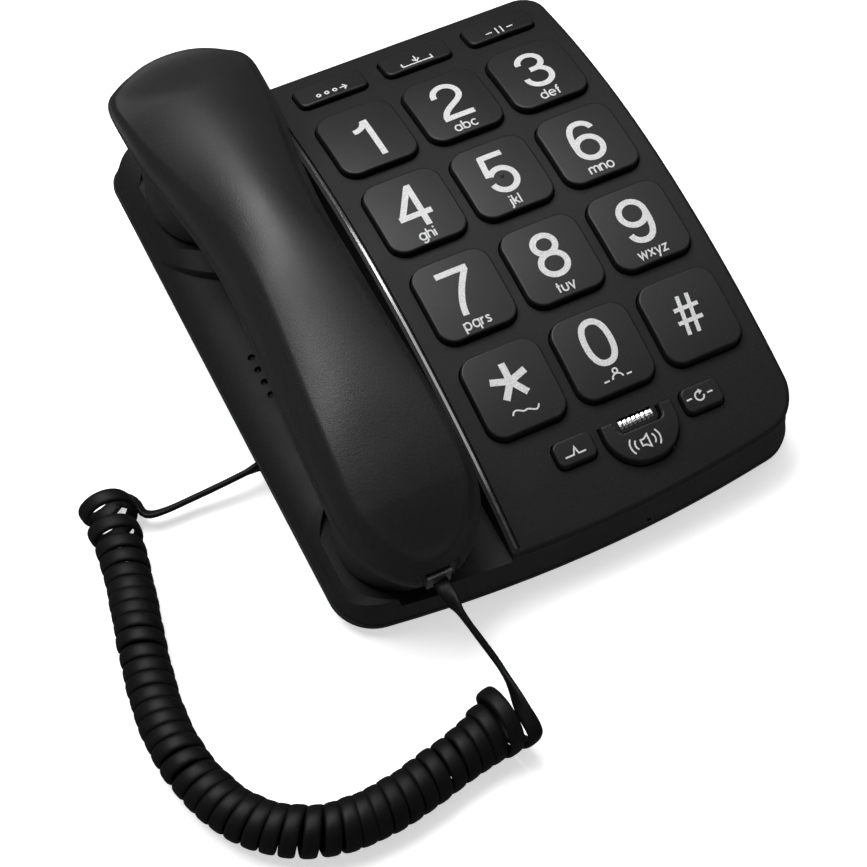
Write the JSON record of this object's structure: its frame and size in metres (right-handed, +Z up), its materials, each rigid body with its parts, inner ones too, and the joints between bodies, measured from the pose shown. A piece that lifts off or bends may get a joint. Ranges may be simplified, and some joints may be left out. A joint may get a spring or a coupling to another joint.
{
  "type": "corded desk telephone",
  "caption": "Corded desk telephone: arched sloping base with large square keys, handset in a side cradle, and a curly cord from the base's left side to the handset.",
  "frame": {"origin": "middle of the object's footprint on the desk, without its cord", "axes": "+X to the user's right, +Y from the user to the rear of the phone, +Z up"},
  "size_m": [0.2228, 0.2399, 0.0851],
  "materials": {
    "base_plastic": "fine matte texture",
    "handset_plastic": "fine matte texture",
    "key_plastic": "satin",
    "silver_trim": "polished",
    "circuit_board": "solder mask",
    "silicone": "matte",
    "clear_lens": "clear, ribbed",
    "lamp_red": "gloss",
    "steel": "zinc plated",
    "paper_cone": "matte",
    "inner_plastic": "matte",
    "rubber": "matte",
    "clear_plug": "clear",
    "cord_jacket": "soft gloss"
  },
  "bodies": {
    "base": {"base_top_shell": "base_plastic", "base_bottom_shell": "base_plastic", "trim_strip": "silver_trim", "main_board": "circuit_board", "keypad_membrane": "silicone", "lamp_window": "clear_lens", "lamp": "lamp_red", "loudspeaker": "steel", "loudspeaker_cone": "paper_cone", "hook_switch": "inner_plastic", "cord_socket": "inner_plastic", "line_socket": "inner_plastic", "base_weight": "steel", "base_microphone": "steel", "case_screws": "steel", "rubber_feet": "rubber", "base_plug": "clear_plug", "cord_base_tail": "cord_jacket", "cord_coil": "cord_jacket", "cord_handset_tail": "cord_jacket"},
    "handset": {"handset_top_shell": "handset_plastic", "handset_bottom_shell": "handset_plastic", "earpiece_receiver": "steel", "handset_microphone": "steel", "handset_weight": "steel", "handset_socket": "inner_plastic", "handset_plug": "clear_plug"},
    "key_1": {"key_1": "key_plastic"},
    "key_2": {"key_2": "key_plastic"},
    "key_3": {"key_3": "key_plastic"},
    "key_4": {"key_4": "key_plastic"},
    "key_5": {"key_5": "key_plastic"},
    "key_6": {"key_6": "key_plastic"},
    "key_7": {"key_7": "key_plastic"},
    "key_8": {"key_8": "key_plastic"},
    "key_9": {"key_9": "key_plastic"},
    "key_star": {"key_star": "key_plastic"},
    "key_0": {"key_0": "key_plastic"},
    "key_hash": {"key_hash": "key_plastic"},
    "key_auto": {"key_auto": "key_plastic"},
    "key_store": {"key_store": "key_plastic"},
    "key_hold": {"key_hold": "key_plastic"},
    "key_flash": {"key_flash": "key_plastic"},
    "key_redial": {"key_redial": "key_plastic"},
    "key_speaker": {"key_speaker": "key_plastic"},
    "hook_plunger": {"hook_plunger": "key_plastic"},
    "ringer_switch": {"ringer_switch": "key_plastic"},
    "volume_switch": {"volume_switch": "key_plastic"}
  },
  "joints": [
    {"name": "handset_lift", "type": "slide", "parent": "base", "child": "handset", "axis": [0, -0.1495, 0.9888], "range_m": [0, 0.08]},
    {"name": "key_1_press", "type": "slide", "parent": "base", "child": "key_1", "axis": [0, 0.1495, -0.9888], "range_m": [0, 0.0018], "stiffness_N_per_m": 260, "springref_m": -0.0012},
    {"name": "key_2_press", "type": "slide", "parent": "base", "child": "key_2", "axis": [0, 0.1495, -0.9888], "range_m": [0, 0.0018], "stiffness_N_per_m": 260, "springref_m": -0.0012},
    {"name": "key_3_press", "type": "slide", "parent": "base", "child": "key_3", "axis": [0, 0.1495, -0.9888], "range_m": [0, 0.0018], "stiffness_N_per_m": 260, "springref_m": -0.0012},
    {"name": "key_4_press", "type": "slide", "parent": "base", "child": "key_4", "axis": [0, 0.1495, -0.9888], "range_m": [0, 0.0018], "stiffness_N_per_m": 260, "springref_m": -0.0012},
    {"name": "key_5_press", "type": "slide", "parent": "base", "child": "key_5", "axis": [0, 0.1495, -0.9888], "range_m": [0, 0.0018], "stiffness_N_per_m": 260, "springref_m": -0.0012},
    {"name": "key_6_press", "type": "slide", "parent": "base", "child": "key_6", "axis": [0, 0.1495, -0.9888], "range_m": [0, 0.0018], "stiffness_N_per_m": 260, "springref_m": -0.0012},
    {"name": "key_7_press", "type": "slide", "parent": "base", "child": "key_7", "axis": [0, 0.1495, -0.9888], "range_m": [0, 0.0018], "stiffness_N_per_m": 260, "springref_m": -0.0012},
    {"name": "key_8_press", "type": "slide", "parent": "base", "child": "key_8", "axis": [0, 0.1495, -0.9888], "range_m": [0, 0.0018], "stiffness_N_per_m": 260, "springref_m": -0.0012},
    {"name": "key_9_press", "type": "slide", "parent": "base", "child": "key_9", "axis": [0, 0.1495, -0.9888], "range_m": [0, 0.0018], "stiffness_N_per_m": 260, "springref_m": -0.0012},
    {"name": "key_star_press", "type": "slide", "parent": "base", "child": "key_star", "axis": [0, 0.1495, -0.9888], "range_m": [0, 0.0018], "stiffness_N_per_m": 260, "springref_m": -0.0012},
    {"name": "key_0_press", "type": "slide", "parent": "base", "child": "key_0", "axis": [0, 0.1495, -0.9888], "range_m": [0, 0.0018], "stiffness_N_per_m": 260, "springref_m": -0.0012},
    {"name": "key_hash_press", "type": "slide", "parent": "base", "child": "key_hash", "axis": [0, 0.1495, -0.9888], "range_m": [0, 0.0018], "stiffness_N_per_m": 260, "springref_m": -0.0012},
    {"name": "key_auto_press", "type": "slide", "parent": "base", "child": "key_auto", "axis": [0, 0.1495, -0.9888], "range_m": [0, 0.0018], "stiffness_N_per_m": 260, "springref_m": -0.0012},
    {"name": "key_store_press", "type": "slide", "parent": "base", "child": "key_store", "axis": [0, 0.1495, -0.9888], "range_m": [0, 0.0018], "stiffness_N_per_m": 260, "springref_m": -0.0012},
    {"name": "key_hold_press", "type": "slide", "parent": "base", "child": "key_hold", "axis": [0, 0.1495, -0.9888], "range_m": [0, 0.0018], "stiffness_N_per_m": 260, "springref_m": -0.0012},
    {"name": "key_flash_press", "type": "slide", "parent": "base", "child": "key_flash", "axis": [0, 0.1495, -0.9888], "range_m": [0, 0.0018], "stiffness_N_per_m": 260, "springref_m": -0.0012},
    {"name": "key_redial_press", "type": "slide", "parent": "base", "child": "key_redial", "axis": [0, 0.1495, -0.9888], "range_m": [0, 0.0018], "stiffness_N_per_m": 260, "springref_m": -0.0012},
    {"name": "key_speaker_press", "type": "slide", "parent": "base", "child": "key_speaker", "axis": [0, 0.1495, -0.9888], "range_m": [0, 0.0018], "stiffness_N_per_m": 260, "springref_m": -0.0012},
    {"name": "hook_rise", "type": "slide", "parent": "base", "child": "hook_plunger", "axis": [0, -0.1495, 0.9888], "range_m": [0, 0.004]},
    {"name": "ringer_slide", "type": "slide", "parent": "base", "child": "ringer_switch", "axis": [1, 0, 0], "range_m": [0, 0.005]},
    {"name": "volume_slide", "type": "slide", "parent": "base", "child": "volume_switch", "axis": [0, -0.9888, -0.1495], "range_m": [0, 0.005]}
  ],
  "couplings": [
    {"joint": "hook_rise", "follows": "handset_lift", "ratio": 0.05}
  ]
}
